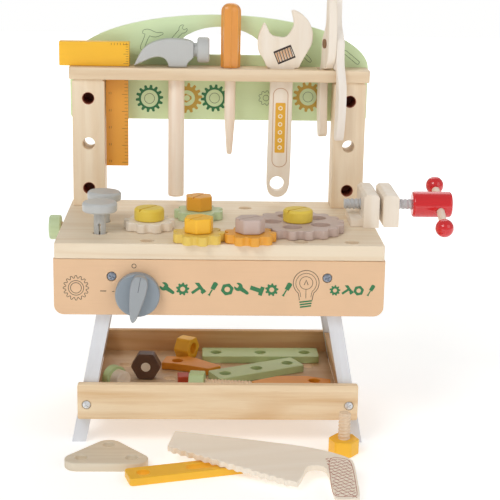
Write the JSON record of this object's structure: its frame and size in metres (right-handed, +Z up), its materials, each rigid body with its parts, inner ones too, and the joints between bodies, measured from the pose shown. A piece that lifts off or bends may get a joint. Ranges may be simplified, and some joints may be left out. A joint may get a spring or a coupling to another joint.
{
  "type": "toy workbench",
  "caption": "Wooden toy workbench with a tool shelf, meshing gears held by bolts, a small vise, a turning dial and a tray of building pieces.",
  "frame": {"origin": "bottom centre of the bounding box of the bench and the pieces lying in front of it, on the floor", "axes": "+Z up, +X to the right as seen from the front (towards the vise), +Y to the back (towards the tool shelf and arched board)"},
  "size_m": [0.438, 0.3602, 0.448],
  "materials": {
    "pine": "sanded plain pine with a light seal",
    "pale_wood": "sanded plain light wood",
    "peach_paint": "smooth paint on board",
    "green_paint": "smooth paint on board",
    "leaf_paint": "satin paint on wood",
    "white_paint": "satin paint on wood",
    "grey_paint": "satin paint on wood",
    "yellow_paint": "satin paint on wood",
    "lemon_paint": "satin paint on wood",
    "orange_paint": "satin paint on wood",
    "taupe_paint": "satin paint on wood",
    "brown_paint": "satin paint on wood",
    "red_paint": "gloss paint on wood",
    "steel": "bright zinc",
    "dark_steel": "black oxide"
  },
  "bodies": {
    "bench": {"worktop": "pine", "front_panel": "peach_paint", "back_panel": "peach_paint", "side_rail_left": "pine", "side_rail_right": "pine", "leg_front_left": "white_paint", "leg_front_right": "white_paint", "leg_back_left": "white_paint", "leg_back_right": "white_paint", "tray_front": "pine", "tray_back": "pine", "tray_left": "pine", "tray_right": "pine", "tray_floor": "pine", "post_left": "pine", "post_right": "pine", "tool_shelf": "pine", "arch_board": "green_paint", "panel_screw_left": "dark_steel", "panel_screw_right": "dark_steel", "tray_screw_left": "steel", "tray_screw_right": "steel", "vise_fixed_jaw": "pale_wood"},
    "knob": {"dial_knob": "grey_paint"},
    "vise_jaw": {"vise_sliding_jaw": "pale_wood"},
    "vise_screw": {"vise_spindle": "red_paint"},
    "vise_bar": {"vise_crossbar": "pine"},
    "gear_yellow": {"gear_yellow": "lemon_paint"},
    "gear_orange": {"gear_orange": "orange_paint"},
    "gear_large": {"gear_large": "taupe_paint"},
    "gear_beige": {"gear_beige": "pale_wood"},
    "gear_green": {"gear_green": "green_paint"},
    "bolt_yellow_hex": {"bolt_yellow_hex": "yellow_paint"},
    "bolt_taupe_hex": {"bolt_taupe_hex": "taupe_paint"},
    "bolt_large_round": {"bolt_large_round": "yellow_paint"},
    "bolt_beige_round": {"bolt_beige_round": "yellow_paint"},
    "bolt_green_hex": {"bolt_green_hex": "orange_paint"},
    "nail_front": {"nail_front": "grey_paint"},
    "nail_back": {"nail_back": "grey_paint"},
    "bolt_side_green": {"bolt_side_green": "green_paint"},
    "screwdriver": {"screwdriver": "orange_paint"},
    "wrench": {"wrench": "pale_wood"},
    "try_square": {"try_square": "yellow_paint"},
    "strip_green_back": {"strip_green_back": "leaf_paint"},
    "strip_green_front": {"strip_green_front": "leaf_paint"},
    "strip_orange_left": {"strip_orange_left": "orange_paint"},
    "strip_orange_right": {"strip_orange_right": "orange_paint"},
    "bolt_leaf_hex": {"bolt_leaf_hex": "leaf_paint"},
    "nut_yellow": {"nut_yellow": "lemon_paint"},
    "bolt_brown": {"bolt_brown": "brown_paint"},
    "bolt_tray_green": {"bolt_tray_green": "leaf_paint"},
    "block_red": {"block_red": "red_paint"},
    "plate_triangle": {"plate_triangle": "pale_wood"},
    "strip_yellow_slotted": {"strip_yellow_slotted": "yellow_paint"},
    "saw": {"saw": "pale_wood"},
    "bolt_floor_hex": {"bolt_floor_hex": "yellow_paint"},
    "hammer": {"hammer_head": "grey_paint", "hammer_handle": "pine"},
    "pliers_back": {"pliers_half_back": "pale_wood"},
    "pliers_front": {"pliers_half_front": "pale_wood"}
  },
  "joints": [
    {"name": "knob_turn", "type": "hinge", "parent": "bench", "child": "knob", "pos_m": [-0.11255, -0.03525, 0.164], "axis": [0, -1, 0], "range_deg": [-10, 80]},
    {"name": "vise_slide", "type": "slide", "parent": "bench", "child": "vise_jaw", "axis": [1, 0, 0], "range_m": [-0.003, 0.015]},
    {"name": "vise_screw_turn", "type": "hinge", "parent": "vise_jaw", "child": "vise_screw", "pos_m": [0.17645, 0.07375, 0.2343], "axis": [1, 0, 0], "range_deg": [-180, 900]},
    {"name": "vise_bar_slide", "type": "slide", "parent": "vise_screw", "child": "vise_bar", "axis": [0, 0.9205, 0.3908], "range_m": [-0.011, 0.018]},
    {"name": "gear_yellow_spin", "type": "hinge", "parent": "bench", "child": "gear_yellow", "pos_m": [-0.05205, -0.02065, 0.2153], "axis": [0, 0, 1], "continuous": true},
    {"name": "gear_orange_spin", "type": "hinge", "parent": "bench", "child": "gear_orange", "pos_m": [-0.00055, -0.02065, 0.2153], "axis": [0, 0, 1], "continuous": true},
    {"name": "gear_large_spin", "type": "hinge", "parent": "bench", "child": "gear_large", "pos_m": [0.05095, 0.03085, 0.2153], "axis": [0, 0, 1], "continuous": true},
    {"name": "gear_beige_spin", "type": "hinge", "parent": "bench", "child": "gear_beige", "pos_m": [-0.10355, 0.03085, 0.2153], "axis": [0, 0, 1], "continuous": true},
    {"name": "gear_green_spin", "type": "hinge", "parent": "bench", "child": "gear_green", "pos_m": [-0.05205, 0.08235, 0.2153], "axis": [0, 0, 1], "continuous": true},
    {"name": "bolt_yellow_hex_lift", "type": "slide", "parent": "bench", "child": "bolt_yellow_hex", "axis": [0, 0, 1], "range_m": [0, 0.035]},
    {"name": "bolt_taupe_hex_lift", "type": "slide", "parent": "bench", "child": "bolt_taupe_hex", "axis": [0, 0, 1], "range_m": [0, 0.035]},
    {"name": "bolt_large_round_lift", "type": "slide", "parent": "bench", "child": "bolt_large_round", "axis": [0, 0, 1], "range_m": [0, 0.035]},
    {"name": "bolt_beige_round_lift", "type": "slide", "parent": "bench", "child": "bolt_beige_round", "axis": [0, 0, 1], "range_m": [0, 0.035]},
    {"name": "bolt_green_hex_lift", "type": "slide", "parent": "bench", "child": "bolt_green_hex", "axis": [0, 0, 1], "range_m": [0, 0.035]},
    {"name": "nail_front_drive", "type": "slide", "parent": "bench", "child": "nail_front", "axis": [0, 0, 1], "range_m": [-0.02, 0.04]},
    {"name": "nail_back_drive", "type": "slide", "parent": "bench", "child": "nail_back", "axis": [0, 0, 1], "range_m": [-0.005, 0.04]},
    {"name": "bolt_side_green_pull", "type": "slide", "parent": "bench", "child": "bolt_side_green", "axis": [-1, 0, 0], "range_m": [0, 0.035]},
    {"name": "hammer_lift", "type": "slide", "parent": "bench", "child": "hammer", "axis": [0, 0, 1], "range_m": [0, 0.16]},
    {"name": "screwdriver_lift", "type": "slide", "parent": "bench", "child": "screwdriver", "axis": [0, 0, 1], "range_m": [0, 0.11]},
    {"name": "wrench_lift", "type": "slide", "parent": "bench", "child": "wrench", "axis": [0, 0, 1], "range_m": [0, 0.16]},
    {"name": "try_square_lift", "type": "slide", "parent": "bench", "child": "try_square", "axis": [0, 0, 1], "range_m": [0, 0.13]},
    {"name": "pliers_lift", "type": "slide", "parent": "bench", "child": "pliers_back", "axis": [0, 0, 1], "range_m": [0, 0.09]},
    {"name": "pliers_open", "type": "hinge", "parent": "pliers_back", "child": "pliers_front", "pos_m": [0.09275, 0.14075, 0.398], "axis": [-0.9703, -0.2419, 0], "range_deg": [0, 12]},
    {"name": "strip_green_back_lift", "type": "slide", "parent": "bench", "child": "strip_green_back", "axis": [0, 0, 1], "range_m": [0, 0.05]},
    {"name": "strip_green_front_lift", "type": "slide", "parent": "bench", "child": "strip_green_front", "axis": [0, 0, 1], "range_m": [0, 0.05]},
    {"name": "strip_orange_left_lift", "type": "slide", "parent": "bench", "child": "strip_orange_left", "axis": [0, 0, 1], "range_m": [0, 0.05]},
    {"name": "strip_orange_right_lift", "type": "slide", "parent": "bench", "child": "strip_orange_right", "axis": [0, 0, 1], "range_m": [0, 0.05]},
    {"name": "bolt_leaf_hex_lift", "type": "slide", "parent": "bench", "child": "bolt_leaf_hex", "axis": [0, 0, 1], "range_m": [0, 0.05]},
    {"name": "nut_yellow_lift", "type": "slide", "parent": "bench", "child": "nut_yellow", "axis": [0, 0, 1], "range_m": [0, 0.05]},
    {"name": "bolt_brown_lift", "type": "slide", "parent": "bench", "child": "bolt_brown", "axis": [0, 0, 1], "range_m": [0, 0.05]},
    {"name": "bolt_tray_green_lift", "type": "slide", "parent": "bench", "child": "bolt_tray_green", "axis": [0, 0, 1], "range_m": [0, 0.05]},
    {"name": "block_red_lift", "type": "slide", "parent": "bench", "child": "block_red", "axis": [0, 0, 1], "range_m": [0, 0.05]},
    {"name": "plate_triangle_lift", "type": "slide", "parent": "bench", "child": "plate_triangle", "axis": [0, 0, 1], "range_m": [0, 0.05]},
    {"name": "strip_yellow_slotted_lift", "type": "slide", "parent": "bench", "child": "strip_yellow_slotted", "axis": [0, 0, 1], "range_m": [0, 0.05]},
    {"name": "bolt_floor_hex_lift", "type": "slide", "parent": "bench", "child": "bolt_floor_hex", "axis": [0, 0, 1], "range_m": [0, 0.05]},
    {"name": "saw_lift", "type": "slide", "parent": "strip_yellow_slotted", "child": "saw", "axis": [0, 0, 1], "range_m": [0, 0.05]}
  ],
  "couplings": [
    {"joint": "gear_orange_spin", "follows": "gear_large_spin", "ratio": -1.8889},
    {"joint": "gear_yellow_spin", "follows": "gear_large_spin", "ratio": 1.8889},
    {"joint": "vise_slide", "follows": "vise_screw_turn", "m_per_rad": 0.00095493}
  ]
}
